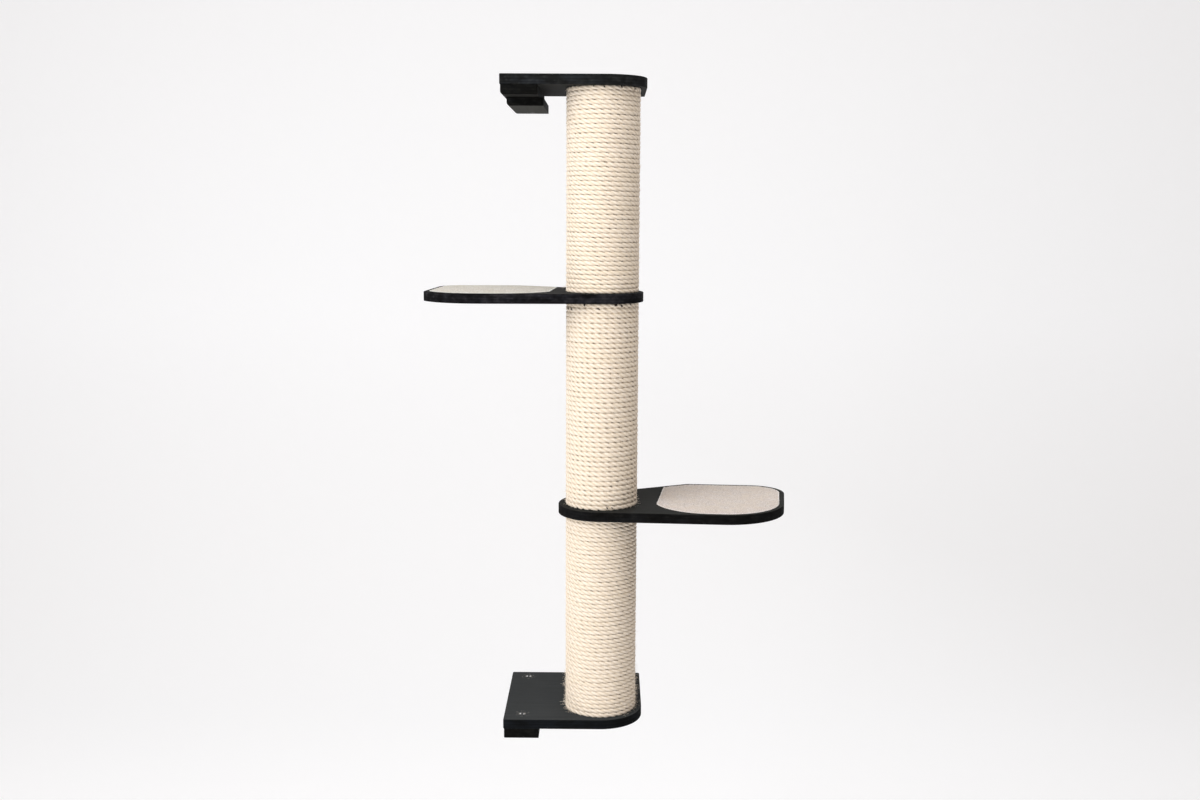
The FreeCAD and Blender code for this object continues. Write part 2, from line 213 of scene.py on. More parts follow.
def addStudio():
    mesh = bmesh.new()
    half, rear = studio["halfWidth"], studio["backdropFrom"]
    bmesh.ops.create_grid(mesh, x_segments=1, y_segments=1, size=half)
    bmesh.ops.translate(mesh, verts=mesh.verts, vec=(0, rear - half, studio["floorHeight"]))
    back = [edge for edge in mesh.edges if min(vertex.co.y for vertex in edge.verts) > rear - 0.1]
    raised = bmesh.ops.extrude_edge_only(mesh, edges=back)["geom"]
    bmesh.ops.translate(mesh, verts=[part for part in raised if isinstance(part, bmesh.types.BMVert)],
                        vec=(0, 0, studio["top"]))
    bmesh.ops.bevel(mesh, geom=back, offset=studio["bend"], offset_type="OFFSET", affect="EDGES",
                    segments=studio["bendSteps"], profile=0.5, material=-1)
    finishMesh("studioFloor", mesh, paperWhite())
    world = bpy.data.worlds.new("studioSky")
    world.use_nodes = True
    sky = world.node_tree.nodes["Background"]
    sky.inputs["Color"].default_value = (*studio["sky"], 1)
    sky.inputs["Strength"].default_value = studio["skyStrength"]
    scene.world = world


addCamera()
addStudio()
for lampName, lamp in lamps.items():
    addLamp(lampName, lamp)
print("viewpoint, floor and lamps placed")


# black stained boards

board = {
    "roughness": 0.82, "plyLayer": 0.0026, "glue": (0.0018, 0.0018, 0.0020),
    "worn": (0.026, 0.025, 0.022), "dust": (0.10, 0.097, 0.088), "bluish": (1.6, 1.75, 2.05),
    "chips": (0.22, 0.21, 0.19), "swept": (0.105, 0.105, 0.100), "chipReach": 0.020,
}

# each board's grain, its colours on top, below and on the edges, and how unevenly it took the stain; the top
# tones are partly dust and partly painted reflection of the bright room, the tones below partly painted bounce
# light
stains = {
    "topPlate": {"boards": ["top_plate"], "grain": "x", "smudged": 0.5,
                 "top": (0.018, 0.019, 0.019), "under": (0.020, 0.020, 0.019),
                 "edge": (0.0108, 0.0112, 0.0112)},
    "bottomPlate": {"boards": ["bottom_plate"], "grain": "x", "smudged": 0.2,
                    "top": (0.038, 0.0410, 0.0425), "under": (0.010, 0.010, 0.010),
                    "edge": (0.0050, 0.0056, 0.0062)},
    "upperShelf": {"boards": ["upper_shelf"], "grain": "x", "smudged": 1.0,
                   "top": (0.022, 0.022, 0.021), "under": (0.012, 0.012, 0.012),
                   "edge": (0.0082, 0.0078, 0.0088)},
    "lowerShelf": {"boards": ["lower_shelf"], "grain": "x", "smudged": 0.6,
                   "top": (0.0195, 0.0200, 0.0190), "under": (0.010, 0.010, 0.010),
                   "edge": (0.0048, 0.0046, 0.0043)},
    # the rail blocks' dark edge tone is partly painted shade under the plates
    "railBlocks": {"boards": ["top_rail_block", "bottom_rail_block"], "grain": "y", "smudged": 0.7,
                   "top": (0.018, 0.018, 0.017), "under": (0.016, 0.016, 0.015),
                   "edge": (0.0034, 0.0033, 0.0028)},
    # the wall arms' light underside tone is painted bounce light
    "wallArms": {"boards": ["top_wall_arm", "bottom_wall_arm"], "grain": "y", "smudged": 0.5,
                 "top": (0.018, 0.018, 0.017), "under": (0.050, 0.050, 0.045),
                 "edge": (0.0060, 0.0060, 0.0056)},
}


def chipsRoundScrew(tree, place, fine, centreX, centreY):
    # stain knocked off on two sides of the head, and swept about further out
    acrossX, acrossY = (addMath(tree, "DIVIDE", addMath(tree, "SUBTRACT", partOf(tree, place, axis), centre),
                                board["chipReach"]) for axis, centre in (("X", centreX), ("Y", centreY)))
    distance = addMath(tree, "SQRT", addMath(tree, "ADD", addMath(tree, "POWER", acrossX, 2.0),
                                             addMath(tree, "POWER", acrossY, 2.0)))
    sideways = addMath(tree, "DIVIDE", addMath(tree, "ABSOLUTE", acrossX), distance)
    nearRing = addRamp(tree, distance, (0.18, 0.0), (0.22, 1.0), (0.31, 1.0), (0.37, 0.0))
    farRing = addRamp(tree, distance, (0.34, 0.0), (0.46, 1.0), (0.62, 1.0), (0.85, 0.0))
    chipped = addMath(tree, "MULTIPLY", nearRing, addRamp(tree, sideways, (0.62, 0.0), (0.85, 1.0)))
    chipped = addMath(tree, "MULTIPLY", chipped, addRamp(tree, fine, (0.34, 0.15), (0.52, 1.0)))
    crumbs = addRamp(tree, addNoise(tree, place, 270.0, 2.0, 0.6), (0.55, 0.0), (0.62, 1.0))
    return chipped, addMath(tree, "MULTIPLY", farRing, crumbs)


def blackStain(name, stain):
    material, tree, shader = startMaterial(name, {"Specular IOR Level": 0.05, "IOR": 1.45})
    place = objectPlace(tree)
    alongX = stain["grain"] == "x"
    grainScale, poreScale = (((7, 150, 150), (40, 1100, 1100)) if alongX
                             else ((150, 7, 150), (1100, 40, 1100)))
    grain = addNoise(tree, stretched(tree, place, grainScale), 1.0, 6.0, 0.6)
    pores = addNoise(tree, stretched(tree, place, poreScale), 1.0, 2.0, 0.5)
    cloud = addNoise(tree, place, 9.0, 4.0, 0.55)
    patch = addNoise(tree, stretched(tree, place, (16, 16, 40)), 1.0, 3.0, 0.6)
    fine = addNoise(tree, place, 620.0, 2.0, 0.6)
    edge = stain["edge"]
    colour = addRamp(tree, grain, (0.28, shaded(edge, 0.60)), (0.72, shaded(edge, 1.15)))
    colour = mixColours(tree, addRamp(tree, patch, (0.44, 0.0), (0.60, 0.8)), colour,
                        [part * share for part, share in zip(edge, board["bluish"])])
    # thin and thick smudges of stain
    smudges = addNoise(tree, stretched(tree, place, (75, 75, 120)), 1.0, 3.0, 0.65)
    strength = 0.9 * stain["smudged"]
    thin = addRamp(tree, smudges, (0.52, 0.0), (0.66, strength))
    thick = addRamp(tree, smudges, (0.34, strength), (0.48, 0.0))
    colour = mixColours(tree, thin, colour, shaded(edge, 3.0))
    colour = mixColours(tree, thick, colour, shaded(edge, 0.3))
    # layers of the plywood, faint on the edges
    facingUp = partOf(tree, addNode(tree, "TexCoord", {}).outputs["Normal"], "Z")
    level = addMath(tree, "ABSOLUTE", facingUp)
    onEdge = addRamp(tree, level, (0.25, 1.0), (0.45, 0.0))
    waves = addMath(tree, "MULTIPLY", cloud, 0.0012)
    layer = addMath(tree, "PINGPONG", addMath(tree, "ADD", partOf(tree, place, "Z"), waves), board["plyLayer"])
    layerLine = addRamp(tree, addMath(tree, "DIVIDE", layer, board["plyLayer"]), (0.42, 0.0), (0.62, 1.0))
    plyShade = addMath(tree, "MULTIPLY", addMath(tree, "MULTIPLY", layerLine, onEdge), 0.35)
    colour = mixColours(tree, plyShade, colour, board["glue"])
    # the flat faces get tones of their own, uneven with the grain: on top partly dust and partly painted
    # reflection, below partly painted bounce light
    upward = addRamp(tree, facingUp, (0.80, 0.0), (0.98, 1.0))
    downward = addRamp(tree, addMath(tree, "MULTIPLY", facingUp, -1.0), (0.80, 0.0), (0.98, 1.0))
    flatGrain = addRamp(tree, grain, (0.30, 0.80), (0.70, 1.0))
    cloudy = addRamp(tree, cloud, (0.30, 0.80), (0.72, 1.0))
    uneven = addMath(tree, "MULTIPLY", flatGrain, cloudy)
    for facing, tone in ((upward, stain["top"]), (downward, stain["under"])):
        colour = mixColours(tree, addMath(tree, "MULTIPLY", facing, uneven), colour, shaded(tone, 1.15))
    # paint rubbed thin along the rounded edges
    rounded = addMath(tree, "MULTIPLY", addRamp(tree, level, (0.30, 0.0), (0.55, 1.0)),
                      addRamp(tree, level, (0.80, 1.0), (0.97, 0.0)))
    rubs = addRamp(tree, addNoise(tree, place, 120.0, 4.0, 0.65), (0.50, 0.0), (0.72, 0.8))
    colour = mixColours(tree, addMath(tree, "MULTIPLY", rounded, rubs), colour, board["worn"])
    # pale dust caught on the upward faces
    dust = addMath(tree, "MULTIPLY", upward, addRamp(tree, fine, (0.66, 0.0), (0.80, 0.55)))
    colour = mixColours(tree, dust, colour, board["dust"])
    if "bottom_plate" in stain["boards"]:
        low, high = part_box("bottom_plate_screws")
        head = (high.x - low.x) / 2
        for across in (low.y + head, high.y - head):
            chipped, swept = chipsRoundScrew(tree, place, fine, low.x + head, across)
            colour = mixColours(tree, addMath(tree, "MULTIPLY", swept, upward), colour, board["swept"])
            colour = mixColours(tree, addMath(tree, "MULTIPLY", chipped, upward), colour, board["chips"])
    rough = addRamp(tree, cloud, (0.2, board["roughness"] - 0.08), (0.8, board["roughness"] + 0.12))
    relief = addMath(tree, "ADD", addMath(tree, "MULTIPLY", grain, 0.6), addMath(tree, "MULTIPLY", pores, 0.4))
    connect(tree, shader, {"Base Color": colour, "Roughness": rough,
                           "Normal": addBump(tree, relief, 0.00025, 0.6)})
    return material


def dress(material, *names):
    for name in names:
        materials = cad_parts[name].data.materials
        materials.clear()
        materials.append(material)


for stainName, stain in stains.items():
    dress(blackStain(stainName + "Stain", stain), *stain["boards"])
print("boards stained")


# hidden tube, plugs and metal

metal = {
    "zinc": (0.62, 0.63, 0.65), "blackened": (0.09, 0.09, 0.095),
    # the bright bare metal on the screw heads is partly a painted highlight, set where the head rims glint
    "bareAndGlint": (0.80, 0.81, 0.83), "stained": (0.014, 0.014, 0.015), "bareGlintReach": 0.005,
}

tube = {"kraft": ((0.21, 0.135, 0.075), (0.33, 0.225, 0.135)), "wrapLine": (0.12, 0.075, 0.04)}

plug = {"birch": ((0.42, 0.28, 0.15), (0.62, 0.46, 0.28)), "glueLine": (0.30, 0.19, 0.10), "layer": 0.0014}


def brushedMetal(name, tone, roughness):
    material, tree, shader = startMaterial(name, {"Metallic": 1.0})
    place = objectPlace(tree)
    marks = addNoise(tree, stretched(tree, place, (900, 900, 160)), 1.0, 3.0, 0.6)
    connect(tree, shader, {
        "Base Color": addRamp(tree, marks, (0.3, shaded(tone, 0.8)), (0.7, tone)),
        "Roughness": addRamp(tree, marks, (0.3, roughness - 0.08), (0.7, roughness + 0.1)),
        "Normal": addBump(tree, marks, 0.00004)})
    return material


def stainedScrews(node):
    # board stain fills the cross and most of the head; both sides of the head show bright bare metal, set
    # where the glints on the head's rim fall, so partly a painted highlight
    low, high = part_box(node)
    material, tree, shader = startMaterial(node + "Stained", {"Roughness": 0.42})
    place = objectPlace(tree)
    middle = (low.x + high.x) / 2
    across = addMath(tree, "ABSOLUTE", addMath(tree, "SUBTRACT", partOf(tree, place, "X"), middle))
    bareAndGlint = addRamp(tree, addMath(tree, "DIVIDE", across, metal["bareGlintReach"]), (0.42, 0.0), (0.52, 1.0))
    patchy = addRamp(tree, addNoise(tree, place, 300.0, 2.0, 0.5), (0.38, 0.2), (0.55, 1.0))
    bare = addMath(tree, "MULTIPLY", bareAndGlint, patchy)
    connect(tree, shader, {"Base Color": mixColours(tree, bare, metal["stained"], metal["bareAndGlint"]),
                           "Metallic": bare})
    return material


def kraftBoard():
    material, tree, shader = startMaterial("kraftTube", {"Roughness": 0.85})
    place = objectPlace(tree)
    fibres = addNoise(tree, stretched(tree, place, (300, 300, 900)), 1.0, 4.0, 0.6)
    wraps = addNode(tree, "TexWave", {"Vector": place, "Scale": 3.2, "Distortion": 0.6},
                    bands_direction="DIAGONAL").outputs["Fac"]
    colour = addRamp(tree, fibres, (0.3, tube["kraft"][0]), (0.7, tube["kraft"][1]))
    colour = mixColours(tree, addRamp(tree, wraps, (0.92, 0.0), (0.99, 0.6)), colour, tube["wrapLine"])
    connect(tree, shader, {"Base Color": colour, "Normal": addBump(tree, fibres, 0.0002)})
    return material


def rawBirch():
    material, tree, shader = startMaterial("rawBirch", {"Roughness": 0.6})
    place = objectPlace(tree)
    grain = addNoise(tree, stretched(tree, place, (9, 160, 160)), 1.0, 5.0, 0.6)
    layer = addMath(tree, "PINGPONG", partOf(tree, place, "Z"), plug["layer"])
    glued = addRamp(tree, addMath(tree, "DIVIDE", layer, plug["layer"]), (0.4, 0.0), (0.6, 0.35))
    colour = addRamp(tree, grain, (0.3, plug["birch"][0]), (0.7, plug["birch"][1]))
    colour = mixColours(tree, glued, colour, plug["glueLine"])
    connect(tree, shader, {"Base Color": colour, "Normal": addBump(tree, grain, 0.0002)})
    return material


def dressHiddenPieces():
    tubeBoard, birch = kraftBoard(), rawBirch()
    zinc = brushedMetal("zincSteel", metal["zinc"], 0.28)
    blackened = brushedMetal("blackenedSteel", metal["blackened"], 0.38)
    for post in posts:
        dress(tubeBoard, post + "_post_tube")
        dress(birch, post + "_post_foot_plug", post + "_post_head_plug")
    dress(zinc, "tee_nuts", "lower_shelf_stud", "upper_shelf_stud")
    for end in ("top", "bottom"):
        dress(stainedScrews(end + "_plate_screws"), end + "_plate_screws")
        dress(zinc, end + "_arm_screws", end + "_plate_washer")
        dress(blackened, end + "_plate_bolt", end + "_lock_screw")


dressHiddenPieces()
print("tubes, plugs and metal dressed")


# sisal rope, wound in two lengths on each post

rope = {
    "turns": {"lower": 45, "middle": 42, "upper": 44},
    "lay": {"lower": 0.0390, "middle": 0.0370, "upper": 0.0390},     # one full twist of the three strands
    "slope": {"lower": 0.0005, "middle": -0.0003, "upper": -0.0019},  # rise to the right, half way up
    "crossing": 45,                    # degrees each side of the wall side, in which a turn climbs to the next
    "pointsRound": 24, "stepsPerTurn": 132,
    "grooveDepth": 0.235, "grooveSharpness": 2.4,                    # grooves between the strands
    "flatness": 3.4, "pressed": 1.10, "proud": 0.0004, "clear": 0.0001,
    # how far each changes along the rope, and how often in a metre
    "unevenness": (0.13, 70), "looseTwist": (0.8, 16), "slack": (0.9, 38),
    "bulge": (0.0005, 13), "wander": (0.0006, 9),
    "nookFrom": 0.66, "nookSpan": 0.20, "nookOnStrand": 0.40,        # where neighbouring turns meet
    "straightRadius": 0.004,           # of the rope laid out straight, for its fibres
    # dark marks by post and end, partly stain smeared off the boards and partly painted shade in the gaps
    # against them, as degrees round the post, distance from that end, and size
    "stainReach": 0.02,
    "stains": {"middle_high": [(-160, 0.0110, 0.0028), (-147, 0.0118, 0.0028), (-119, 0.0029, 0.0026),
                               (-98, 0.0093, 0.0018), (-93, 0.0102, 0.0018), (-68, 0.0023, 0.0028),
                               (-58, 0.0044, 0.0026), (-40, 0.0030, 0.0022)],
               "upper_high": [(-172, 0.0060, 0.0022), (-160, 0.0140, 0.0016), (-131, 0.0020, 0.0018),
                              (-104, 0.0014, 0.0016), (-88, 0.0020, 0.0020), (-61, 0.0016, 0.0018),
                              (-33, 0.0040, 0.0022), (-14, 0.0060, 0.0022)],
               "middle_low": [(-132, 0.0006, 0.0024), (-120, 0.0004, 0.0022), (-109, 0.0008, 0.0020),
                              (-95, 0.0004, 0.0018), (-81, 0.0050, 0.0016), (-73, 0.0042, 0.0016)]},
}

# groove is painted shade in the grooves between the strands and also the brown of random spots; nook is
# painted shade where the turns meet; stain darkens the marks by the boards, partly stain and partly painted
# shade
sisal = {
    "shade": (0.62, 0.500, 0.345), "straw": (0.775, 0.668, 0.528), "pale": (0.882, 0.808, 0.738),
    "groove": (0.46, 0.350, 0.215), "nook": (0.070, 0.044, 0.022), "stain": (0.030, 0.016, 0.012),
    "roughness": 0.82, "relief": 0.0007,
}


def strandOutline(angle, tightness=1.0):
    # a share of the rope's radius: 1 on the crest of each of the three strands, less between them
    return 1 - rope["grooveDepth"] * tightness * abs(math.sin(1.5 * angle)) ** rope["grooveSharpness"]


def flattened(angle):
    # pressed against the tube and the next turns, so fuller than a circle
    power = rope["flatness"]
    return (abs(math.cos(angle)) ** power + abs(math.sin(angle)) ** power) ** (-1 / power)


def change(kind, post, along, row):
    # the same smooth chance each time, from a row of its own
    amount, perMetre = rope[kind]
    return amount * noise.noise((along * perMetre, row, post["seed"]))


def turnsClimbed(turned):
    # each turn is level, apart from the stretch on the wall side where it climbs to the next one
    crossing = rope["crossing"] / 360
    whole = math.floor(turned + crossing)
    done = (turned - whole + crossing) / (2 * crossing)
    return whole if done >= 1 else whole - 1 + done * done * (3 - 2 * done)


def measurePost(name):
    tubeLow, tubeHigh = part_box(name + "_post_tube")
    ropeLow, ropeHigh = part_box(name + "_post_rope_low")
    tubeRadius = (tubeHigh.x - tubeLow.x) / 2
    outer = (ropeHigh.x - ropeLow.x) / 2
    half = (outer - tubeRadius) / 2
    turns = rope["turns"][name]
    return {
        "x": (tubeLow.x + tubeHigh.x) / 2, "y": (tubeLow.y + tubeHigh.y) / 2,
        "bottom": tubeLow.z, "top": tubeHigh.z, "outer": outer, "half": half,
        "centreRadius": tubeRadius + half, "turns": turns, "start": tubeLow.z + half,
        "pitch": (tubeHigh.z - tubeLow.z - 2 * half) / (turns - 1),
        "lay": rope["lay"][name], "slope": rope["slope"][name], "seed": 10.0 * posts.index(name),
    }


def stainAndShadeShare(marks, angle, fromEnd, radius):
    share = 0.0
    for degrees, height, size in marks:
        turned = math.remainder(angle - math.radians(degrees), 2 * math.pi)
        away = math.hypot(turned * radius, fromEnd - height) / size
        share = max(share, 1 - away * away * 0.5)
    return max(share, 0.0)


def windRope(name, post, firstTurn, lastTurn, marks):
    mesh = bmesh.new()
    turns = lastTurn - firstTurn
    bmesh.ops.create_grid(mesh, x_segments=rope["pointsRound"],
                          y_segments=round(turns * rope["stepsPerTurn"]),
                          size=0.5, matrix=Matrix.Translation((0.5, 0.5, 0)))
    straight = mesh.verts.layers.float_vector.new("straightRope")
    # the stained layer holds the dark marks by the boards, partly stain and partly painted shade
    groove, nook, stained = (mesh.verts.layers.float.new(layer) for layer in ("groove", "nook", "stained"))
    tall = rope["pressed"] * post["pitch"] / 2
    for vertex in mesh.verts:
        around, turned = 2 * math.pi * vertex.co.x, firstTurn + turns * vertex.co.y
        angle = math.pi / 2 + 2 * math.pi * turned
        along = 2 * math.pi * post["centreRadius"] * turned
        strand = int(vertex.co.x * 3) % 3
        uneven = 1 + change("unevenness", post, along, strand * 5.0)
        twist = around + 2 * math.pi * along / post["lay"] + change("looseTwist", post, along, 3.0)
        tightness = 1 + change("slack", post, along, 21.0)
        reach = strandOutline(around, tightness) * flattened(twist) * uneven
        rise = reach * tall * math.cos(twist)
        out = reach * (post["half"] + rope["proud"] / 2) * math.sin(twist) + rope["proud"] / 2
        out += change("bulge", post, along, 15.0)
        rise += change("wander", post, along, 8.0)
        rise += post["slope"] * math.cos(angle) * math.sin(math.pi * turned / post["turns"])
        vertex[straight] = (rope["straightRadius"] * math.cos(twist), rope["straightRadius"] * math.sin(twist),
                            along + post["seed"])
        hollow = (1 - strandOutline(around)) / rope["grooveDepth"]
        vertex[groove] = hollow
        # how near the turns meet, which sets the painted shade there
        meeting = min(max(0.0, (abs(math.cos(twist)) - rope["nookFrom"]) / rope["nookSpan"]), 1.0)
        vertex[nook] = meeting * (rope["nookOnStrand"] + (1 - rope["nookOnStrand"]) * hollow)
        radius = post["centreRadius"] + out
        height = post["start"] + post["pitch"] * turnsClimbed(turned) + rise
        height = min(max(height, post["bottom"] + rope["clear"]), post["top"] - rope["clear"])
        fromEnd = min(height - post["bottom"], post["top"] - height)
        if marks and fromEnd < rope["stainReach"]:
            vertex[stained] = stainAndShadeShare(marks, angle, fromEnd, radius)
        vertex.co = (post["x"] + radius * math.cos(angle), post["y"] + radius * math.sin(angle), height)
    bmesh.ops.remove_doubles(mesh, verts=mesh.verts, dist=1e-7)
    ends = [edge for edge in mesh.edges if edge.is_boundary]
    bmesh.ops.holes_fill(mesh, edges=ends, sides=0)
    bmesh.ops.recalc_face_normals(mesh, faces=mesh.faces)
    return finishMesh(name, mesh, sisalRope)


def sisalMaterial():
    material, tree, shader = startMaterial("sisalRope", {
        "Specular IOR Level": 0.25, "Sheen Weight": 0.12, "Sheen Roughness": 0.6})
    straight = readAttribute(tree, "straightRope", "Vector")
    groove, nook, stained = (readAttribute(tree, name) for name in ("groove", "nook", "stained"))
    place = objectPlace(tree)
    fibres = addNoise(tree, stretched(tree, straight, (2600, 2600, 95)), 1.0, 4.0, 0.65)
    bundles = addNoise(tree, stretched(tree, straight, (620, 620, 38)), 1.0, 3.0, 0.6)
    lengths = addNoise(tree, stretched(tree, straight, (60, 60, 7)), 1.0, 3.0, 0.6)
    colour = addRamp(tree, fibres, (0.25, sisal["shade"]), (0.45, sisal["straw"]), (0.72, sisal["pale"]))
    colour = mixColours(tree, addRamp(tree, bundles, (0.35, 0.0), (0.75, 0.55)), colour, sisal["pale"])
    colour = mixColours(tree, addRamp(tree, lengths, (0.46, 0.0), (0.72, 0.65)), colour, sisal["straw"])
    # painted shade: darker brown deep in the grooves between the strands
    grooveShade = addMath(tree, "POWER", groove, 2.0)
    colour = mixColours(tree, addMath(tree, "MULTIPLY", grooveShade, 0.45), colour, sisal["groove"])
    # painted shade: dark dashes where the turns meet, weaker on the lit left side and full on the shaded right
    dashes = addNoise(tree, stretched(tree, straight, (30, 30, 130)), 1.0, 2.0, 0.6)
    nookShade = addMath(tree, "MULTIPLY", nook, addRamp(tree, dashes, (0.53, 0.0), (0.59, 1.0)), clamp=True)
    fromMiddle = addMath(tree, "SUBTRACT", partOf(tree, place, "X"), measured["lower"]["x"])
    toRight = addMath(tree, "DIVIDE", fromMiddle, measured["lower"]["outer"])
    nookShade = addMath(tree, "MULTIPLY", nookShade, addRamp(tree, toRight, (0.0, 0.4), (0.5, 1.0)))
    colour = mixColours(tree, nookShade, colour, sisal["nook"])
    # brown spots, and dark marks at the shelves, partly smeared stain and partly painted shade where the rope
    # meets the boards
    spots = addNoise(tree, place, 210.0, 3.0, 0.7)
    colour = mixColours(tree, addRamp(tree, spots, (0.70, 0.0), (0.78, 0.5)), colour, sisal["groove"])
    ragged = addMath(tree, "MULTIPLY", addMath(tree, "SUBTRACT", spots, 0.5), 0.9)
    raggedMarks = addMath(tree, "ADD", stained, ragged)
    stainAndShade = addMath(tree, "MULTIPLY", addRamp(tree, raggedMarks, (0.34, 0.0), (0.52, 1.0)),
                    addRamp(tree, stained, (0.05, 0.0), (0.20, 1.0)))
    colour = mixColours(tree, stainAndShade, colour, sisal["stain"])
    rough = addRamp(tree, fibres, (0.2, sisal["roughness"] + 0.12), (0.8, sisal["roughness"] - 0.08))
    relief = addMath(tree, "ADD", addMath(tree, "MULTIPLY", fibres, 0.45),
                     addMath(tree, "MULTIPLY", bundles, 0.55))
    connect(tree, shader, {"Base Color": colour, "Roughness": rough,
                           "Normal": addBump(tree, relief, sisal["relief"])})
    return material


# loose sisal fibres, more of them where the rope rubs at a foot

fibre = {
    "radius": 0.00012, "lengths": (0.005, 0.007, 0.011), "bends": (0.003, 0.006, 0.012), "steps": 5,
    "rootDepth": 0.0006, "clear": 0.0004,
    # how many: over the whole post, at its foot, and at each end of the rope
    "spread": 520, "foot": {"lower": 640, "middle": 160, "upper": 80}, "footHeight": 0.075, "ends": 36,
    "clump": {"middle": (-77, 0.0055, 14)},      # degrees round the post, height and number
}


def fibreShapes():
    shapes = []
    for length in fibre["lengths"]:
        for bend in fibre["bends"]:
            single = bmesh.new()
            ring = bmesh.ops.create_circle(single, segments=3, radius=fibre["radius"])["verts"]
            bmesh.ops.spin(single, geom=ring + list(single.edges), cent=(bend, 0, 0), axis=(0, 1, 0),
                           angle=length / bend, steps=fibre["steps"], use_merge=False)
            ends = [edge for edge in single.edges if edge.is_boundary]
            bmesh.ops.holes_fill(single, edges=ends, sides=0)
            bmesh.ops.recalc_face_normals(single, faces=single.faces)
            shape = bpy.data.meshes.new("fibre")
            single.to_mesh(shape)
            single.free()
            shapes.append(shape)
    return shapes


def fibreRoots(name, post, dice):
    # where each fibre leaves the rope: degrees round the post, height, and how much it droops
    tall = post["top"] - post["bottom"]
    roots = [(dice.uniform(0, 360), post["bottom"] + tall * dice.random(), 0.0)
             for _ in range(fibre["spread"])]
    for _ in range(fibre["foot"][name]):
        rise = fibre["footHeight"] * dice.random() ** 1.6
        roots.append((dice.choice((190, 355)) + dice.gauss(0, 22), post["bottom"] + rise, 0.3))
    for turn in (rope["crossing"] / 360, post["turns"] - rope["crossing"] / 360):
        height = post["start"] + post["pitch"] * turnsClimbed(turn)
        roots += [(90 + 360 * turn + dice.gauss(0, 1.5), height + dice.gauss(0, 0.002), 0.1)
                  for _ in range(fibre["ends"])]
    if name in fibre["clump"]:
        degrees, height, count = fibre["clump"][name]
        roots += [(degrees + dice.gauss(0, 1.2), post["bottom"] + height, 0.8) for _ in range(count)]
    return roots


def growFibres(name, post, shapes):
    dice = random.Random(name)
    loose = bmesh.new()
    for degrees, height, droop in fibreRoots(name, post, dice):
        angle = math.radians(degrees)
        outward = Vector((math.cos(angle), math.sin(angle), 0))
        sideways = Vector((-math.sin(angle), math.cos(angle), 0))
        heading = (outward * dice.uniform(0.1, 0.9) + sideways * dice.uniform(-1, 1)
                   + Vector((0, 0, dice.uniform(-0.7, 0.7) - droop)))
        root = Vector((post["x"], post["y"], height)) + outward * (post["outer"] - fibre["rootDepth"])
        size = dice.uniform(0.55, 1.2)
        tip = root + heading.normalized() * fibre["lengths"][-1] * size
        if not post["bottom"] + fibre["clear"] < tip.z < post["top"] - fibre["clear"]:
            heading.z = 0
        move = (Matrix.Translation(root) @ heading.to_track_quat("Z", "X").to_matrix().to_4x4()
                @ Matrix.Rotation(dice.uniform(0, 6.28), 4, "Z") @ Matrix.Scale(size, 4))
        shape = dice.choice(shapes)
        shape.transform(move)
        loose.from_mesh(shape)
        shape.transform(move.inverted())
    for vertex in loose.verts:
        vertex.co.z = min(max(vertex.co.z, post["bottom"] + rope["clear"]), post["top"] - rope["clear"])
    return finishMesh(name + "_post_fibres", loose, sisalRope)


measured = {name: measurePost(name) for name in posts}
sisalRope = sisalMaterial()
fibreMeshes = fibreShapes()
for postName in posts:
    post = measured[postName]
    crossing = rope["crossing"] / 360
    middleTurn = (post["turns"] + 1) // 2 + crossing
    for half, firstTurn, lastTurn in (("low", crossing, middleTurn),
                                      ("high", middleTurn, post["turns"] - crossing)):
        node = postName + "_post_rope_" + half
        winding = windRope(node + "_strands", post, firstTurn, lastTurn,
                           rope["stains"].get(postName + "_" + half))
        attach(winding, "root")
        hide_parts(node)
    loose = growFibres(postName, post, fibreMeshes)
    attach(loose, "root")
for shape in fibreMeshes:
    bpy.data.meshes.remove(shape)
print("rope wound")


# carpets laid in the shelves

carpet = {
    "pileHeight": 0.0014, "tuftFoot": 0.00062, "tuftTip": 0.00030, "sunk": 0.0003, "spacing": 0.00150,
    "backingDrop": 0.0020, "lean": 0.45, "seed": 5,
    "shade": (0.46, 0.405, 0.355), "beige": (0.66, 0.60, 0.54), "pale": (0.82, 0.77, 0.71),
    # each shelf's carpet tint is partly its own colour and partly painted light: the lower carpet is lighter
    # to make up for the post's shadow on it
    "tintAndPaintedLight": {"lower": (1.02, 1.03, 1.08), "upper": (0.94, 1.00, 1.03)},
    "warm": (0.70, 0.61, 0.50), "grey": (0.47, 0.43, 0.40),
    "cutEdge": (0.92, 0.89, 0.84), "edgeWidth": 0.0022,
}


def carpetMaterial(name, tintAndPaintedLight):
    material, tree, shader = startMaterial(name, {
        "Roughness": 0.95, "Specular IOR Level": 0.1, "Sheen Weight": 0.25, "Sheen Roughness": 0.5})
    place = objectPlace(tree)
    tufts = addNode(tree, "TexVoronoi", {"Vector": place, "Scale": 640.0}).outputs["Color"]
    tone = addNode(tree, "SeparateColor", {"Color": tufts}).outputs["Red"]
    patches = addNoise(tree, place, 55.0, 4.0, 0.6)
    colour = addRamp(tree, tone, (0.0, carpet["shade"]), (0.35, carpet["beige"]), (1.0, carpet["pale"]))
    colour = mixColours(tree, addRamp(tree, patches, (0.40, 0.0), (0.62, 0.5)), colour, carpet["warm"])
    speckles = addNoise(tree, place, 230.0, 3.0, 0.7)
    colour = mixColours(tree, addRamp(tree, speckles, (0.52, 0.0), (0.68, 0.6)), colour, carpet["grey"])
    cut = addMath(tree, "MULTIPLY", readAttribute(tree, "cutEdge"), 0.8)
    colour = mixColours(tree, cut, colour, carpet["cutEdge"])
    # the tint per shelf holds painted light as well as colour
    colour = mixColours(tree, 1.0, colour, tintAndPaintedLight, "MULTIPLY")
    connect(tree, shader, {"Base Color": colour,
                           "Normal": addBump(tree, addNoise(tree, place, 2200.0, 2.0), 0.0003)})
    return material


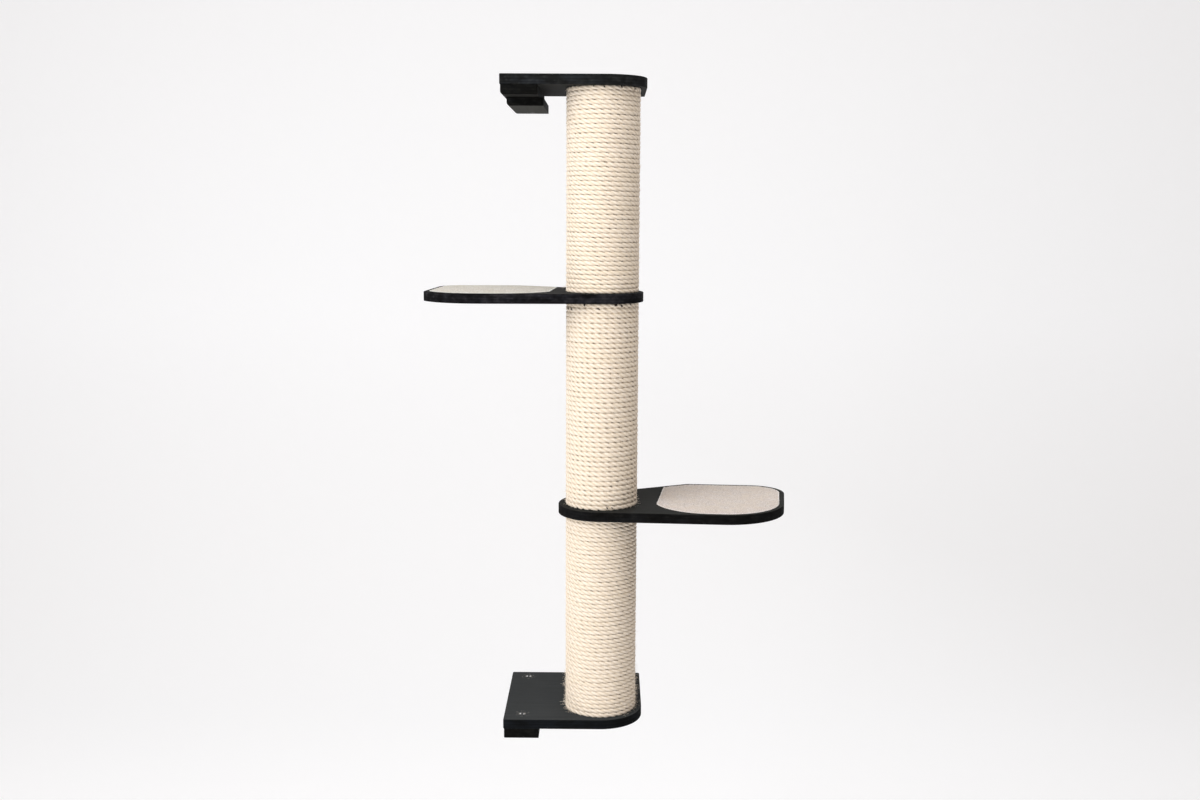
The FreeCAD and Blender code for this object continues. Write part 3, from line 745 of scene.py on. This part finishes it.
def carpetBacking(name, node, material):
    mesh = bmesh.new()
    mesh.from_mesh(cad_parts[node].data)
    bmesh.ops.remove_doubles(mesh, verts=mesh.verts, dist=1e-6)
    low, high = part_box(node)
    for vertex in mesh.verts:
        if vertex.co.z > (low.z + high.z) / 2:
            vertex.co.z -= carpet["backingDrop"]
    tree = BVHTree.FromBMesh(mesh)
    return finishMesh(name, mesh, material, smooth=False), tree, low, high


def growPile(name, backing, low, high, material):
    dice = random.Random(carpet["seed"])
    tuft = bmesh.new()
    bmesh.ops.create_cone(tuft, cap_ends=True, segments=3, radius1=carpet["tuftFoot"],
                          radius2=carpet["tuftTip"], depth=carpet["pileHeight"],
                          matrix=Matrix.Translation((0, 0, carpet["pileHeight"] / 2 - carpet["sunk"])))
    tuftMesh = bpy.data.meshes.new("tuft")
    tuft.to_mesh(tuftMesh)
    tuft.free()
    pile = bmesh.new()
    cutEdge = pile.verts.layers.float.new("cutEdge")
    step = carpet["spacing"]
    reach = carpet["edgeWidth"]
    outermost = []
    for row in range(int((high.y - low.y) / step) + 1):
        for column in range(int((high.x - low.x) / step) + 1):
            start = Vector((low.x + (column + dice.random()) * step,
                            low.y + (row + dice.random()) * step, high.z + 0.01))
            place, normal, *rest = backing.ray_cast(start, (0, 0, -1))
            if place is None or normal.z < 0.2:
                continue
            lean = Vector((dice.uniform(-1, 1), dice.uniform(-1, 1), 0)) * carpet["lean"]
            turn = (normal + lean).to_track_quat("Z", "X").to_matrix().to_4x4()
            size = Matrix.Scale(dice.uniform(0.75, 1.15), 4)
            spin = Matrix.Rotation(dice.uniform(0, 6.28), 4, "Z")
            move = Matrix.Translation(place) @ turn @ spin @ size
            tuftMesh.transform(move)
            known = len(pile.verts)
            pile.from_mesh(tuftMesh)
            tuftMesh.transform(move.inverted())
            if any(backing.ray_cast(start + Vector(shift), (0, 0, -1))[0] is None
                   for shift in ((reach, 0, 0), (-reach, 0, 0), (0, reach, 0), (0, -reach, 0))):
                outermost.append(known)
    pile.verts.ensure_lookup_table()
    for known in outermost:
        for vertex in pile.verts[known:known + len(tuftMesh.vertices)]:
            vertex[cutEdge] = 1.0
    bpy.data.meshes.remove(tuftMesh)
    return finishMesh(name, pile, material)


for shelf in ("lower", "upper"):
    node = shelf + "_shelf_mat"
    beigeCarpet = carpetMaterial(shelf + "ShelfCarpet", carpet["tintAndPaintedLight"][shelf])
    backing, backingTree, low, high = carpetBacking(node + "_backing", node, beigeCarpet)
    pile = growPile(node + "_pile", backingTree, low, high, beigeCarpet)
    for piece in (backing, pile):
        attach(piece, "root")
    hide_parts(node)
print("carpets laid")
